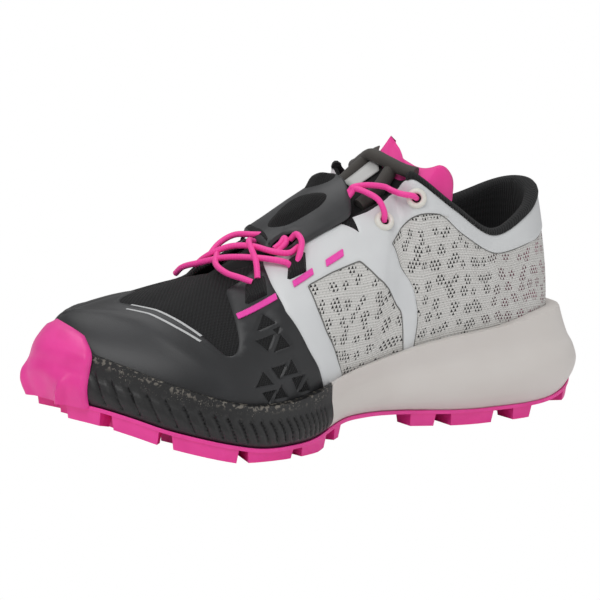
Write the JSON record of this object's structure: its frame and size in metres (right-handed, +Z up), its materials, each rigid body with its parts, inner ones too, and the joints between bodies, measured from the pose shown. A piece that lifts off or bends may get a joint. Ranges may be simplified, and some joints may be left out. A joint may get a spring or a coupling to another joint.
{
  "type": "trail running shoe",
  "caption": "Left low-cut trail running shoe: hollow knit upper with film overlays and laced throat, foam midsole, rubber forefoot rand and a lugged tread that turns up as a toe bumper.",
  "frame": {"origin": "on the floor, under the middle of the shoe's length and of its ball width", "axes": "+X from heel to toe, +Y to the outer (lateral) side of this left shoe, +Z up"},
  "size_m": [0.2635, 0.1037, 0.1254],
  "materials": {
    "tread_rubber": "matt pink rubber",
    "midsole_foam": "warm white moulded foam",
    "rand_rubber": "black grooved rubber",
    "footbed": "dark textile over foam",
    "upper_knit": "engineered knit",
    "lining_textile": "black padded textile",
    "tongue_textile": "pink padded textile",
    "rim_foam": "dark brown-grey covered foam",
    "charcoal_film": "charcoal film with a fine grain",
    "white_film": "smooth white film",
    "cover_film": "dark grey film",
    "eyelet_plastic": "cream moulded plastic",
    "webbing": "black webbing",
    "lace_cord": "pink braided cord"
  },
  "bodies": {
    "root": {"outsole": "tread_rubber", "midsole": "midsole_foam", "forefoot_rand": "rand_rubber", "insole": "footbed", "upper": "upper_knit", "collar_lining": "lining_textile", "tongue": "tongue_textile", "tongue_rim": "rim_foam", "toe_cap": "charcoal_film", "quarter_film": "white_film", "lace_cover": "cover_film", "eyelet_low_lateral": "eyelet_plastic", "eyelet_high_lateral": "eyelet_plastic", "eyelet_low_medial": "eyelet_plastic", "eyelet_high_medial": "eyelet_plastic", "loop_front_lateral": "webbing", "loop_rear_lateral": "webbing", "loop_front_medial": "webbing", "loop_rear_medial": "webbing", "lace_front": "lace_cord", "lace_rear_lateral": "lace_cord", "lace_rear_medial": "lace_cord"}
  },
  "joints": []
}
